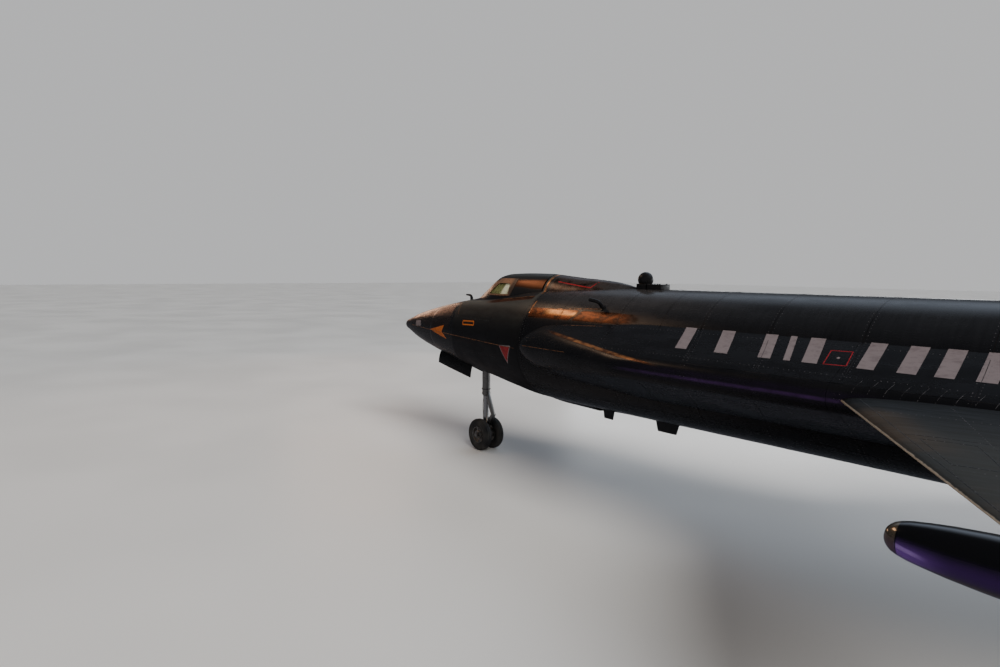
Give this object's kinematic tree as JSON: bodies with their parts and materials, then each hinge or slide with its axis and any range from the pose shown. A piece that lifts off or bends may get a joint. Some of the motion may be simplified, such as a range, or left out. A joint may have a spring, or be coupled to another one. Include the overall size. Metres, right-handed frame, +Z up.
{
  "type": "rocket-powered research aircraft",
  "caption": "Black rocket-powered research aircraft on nose wheels and tail skids, with thin wings, tip pods, wedge fins, side tunnels and an opening canopy.",
  "frame": {"origin": "on the ground, under the middle of the aircraft's length and width", "axes": "-X towards the nose, +Y to starboard, +Z up"},
  "size_m": [15.469, 7.203, 3.807],
  "materials": {
    "heat_black_skin": "weathered near-black heat-treated nickel alloy, brown and bronze where it is worn",
    "bronze_skin": "bare alloy tinted bronze by heat",
    "bare_steel": "bare worn steel",
    "gloss_black": "polished black with a purple sheen",
    "window_glass": "heat-resistant glass, pale yellow-green",
    "tyre_rubber": "dull black rubber",
    "cabin_paint": "matt grey-green paint",
    "seat_cover": "woven olive cover",
    "nozzle_metal": "heat-stained brazed steel",
    "engine_metal": "plain block"
  },
  "bodies": {
    "airframe": {"nose_ball": "bare_steel", "nose_cone": "heat_black_skin", "forward_fuselage": "heat_black_skin", "instrument_panel": "cabin_paint", "console_left": "cabin_paint", "console_right": "cabin_paint", "control_stick": "cabin_paint", "seat": "seat_cover", "centre_fuselage": "heat_black_skin", "aft_fuselage": "heat_black_skin", "spine_fairing": "heat_black_skin", "belly_fairing": "heat_black_skin", "side_tunnel_front_left": "heat_black_skin", "side_tunnel_front_right": "heat_black_skin", "side_tunnel_rear_left": "heat_black_skin", "side_tunnel_rear_right": "heat_black_skin", "wing_left": "heat_black_skin", "wing_right": "heat_black_skin", "wing_tip_pod_left": "gloss_black", "wing_tip_pod_right": "gloss_black", "fin_stub_upper": "heat_black_skin", "fin_stub_lower": "heat_black_skin", "engine_block": "engine_metal", "engine_nozzle": "nozzle_metal", "nose_gear_leg": "bare_steel", "skid_strut_left": "bare_steel", "skid_brace_left": "bare_steel", "skid_left": "bare_steel", "skid_strut_right": "bare_steel", "skid_brace_right": "bare_steel", "skid_right": "bare_steel", "pitot_mast": "bare_steel", "vent_pipe_left": "heat_black_skin", "vent_pipe_right": "heat_black_skin", "blade_aerial_front": "heat_black_skin", "blade_aerial_rear": "heat_black_skin", "hoist_lug": "heat_black_skin"},
    "canopy": {"canopy": "bronze_skin", "window_left": "window_glass", "window_right": "window_glass"},
    "nose_wheels": {"nose_wheel_left": "bare_steel", "nose_tyre_left": "tyre_rubber", "nose_wheel_right": "bare_steel", "nose_tyre_right": "tyre_rubber"},
    "nose_gear_door_left": {"nose_gear_door_left": "heat_black_skin"},
    "nose_gear_door_right": {"nose_gear_door_right": "heat_black_skin"},
    "flap_left": {"flap_left": "heat_black_skin"},
    "flap_right": {"flap_right": "heat_black_skin"},
    "tailplane_left": {"tailplane_left": "heat_black_skin"},
    "tailplane_right": {"tailplane_right": "heat_black_skin"},
    "rudder": {"rudder_upper": "heat_black_skin"},
    "speed_brake_upper_left": {"speed_brake_upper_left": "heat_black_skin"},
    "speed_brake_upper_right": {"speed_brake_upper_right": "heat_black_skin"},
    "speed_brake_lower_left": {"speed_brake_lower_left": "heat_black_skin"},
    "speed_brake_lower_right": {"speed_brake_lower_right": "heat_black_skin"}
  },
  "joints": [
    {"name": "canopy_hinge", "type": "hinge", "parent": "airframe", "child": "canopy", "pos_m": [-4.1095, 0, 2.575], "axis": [0, 1, 0], "range_deg": [0, 45]},
    {"name": "nose_wheel_axle", "type": "hinge", "parent": "airframe", "child": "nose_wheels", "pos_m": [-5.5745, 0, 0.2286], "axis": [0, 1, 0], "continuous": true},
    {"name": "nose_door_left_hinge", "type": "hinge", "parent": "airframe", "child": "nose_gear_door_left", "pos_m": [-6.5025, -0.178, 1.36858], "axis": [0.9845, 0, -0.1756], "range_deg": [0, 84]},
    {"name": "nose_door_right_hinge", "type": "hinge", "parent": "airframe", "child": "nose_gear_door_right", "pos_m": [-6.5025, 0.178, 1.36858], "axis": [-0.9845, 0, 0.1756], "range_deg": [0, 84]},
    {"name": "flap_left_hinge", "type": "hinge", "parent": "airframe", "child": "flap_left", "pos_m": [2.5355, -1.8, 1.7], "axis": [0, 1, 0], "range_deg": [0, 40]},
    {"name": "flap_right_hinge", "type": "hinge", "parent": "airframe", "child": "flap_right", "pos_m": [2.5355, 1.8, 1.7], "axis": [0, 1, 0], "range_deg": [0, 40]},
    {"name": "tailplane_left_pivot", "type": "hinge", "parent": "airframe", "child": "tailplane_left", "pos_m": [6.2155, -1.126, 1.7], "axis": [0, 1, 0], "range_deg": [-35, 15]},
    {"name": "tailplane_right_pivot", "type": "hinge", "parent": "airframe", "child": "tailplane_right", "pos_m": [6.2155, 1.126, 1.7], "axis": [0, 1, 0], "range_deg": [-35, 15]},
    {"name": "rudder_pivot", "type": "hinge", "parent": "airframe", "child": "rudder", "pos_m": [5.6155, 0, 2.88], "axis": [0, 0, 1], "range_deg": [-7.5, 7.5]},
    {"name": "brake_upper_left_hinge", "type": "hinge", "parent": "airframe", "child": "speed_brake_upper_left", "pos_m": [6.2415, -0.1594, 2.65], "axis": [0, 0, -1], "range_deg": [0, 35]},
    {"name": "brake_upper_right_hinge", "type": "hinge", "parent": "airframe", "child": "speed_brake_upper_right", "pos_m": [6.2415, 0.1594, 2.65], "axis": [0, 0, 1], "range_deg": [0, 35]},
    {"name": "brake_lower_left_hinge", "type": "hinge", "parent": "airframe", "child": "speed_brake_lower_left", "pos_m": [6.2415, -0.1594, 0.75], "axis": [0, 0, -1], "range_deg": [0, 35]},
    {"name": "brake_lower_right_hinge", "type": "hinge", "parent": "airframe", "child": "speed_brake_lower_right", "pos_m": [6.2415, 0.1594, 0.75], "axis": [0, 0, 1], "range_deg": [0, 35]}
  ]
}
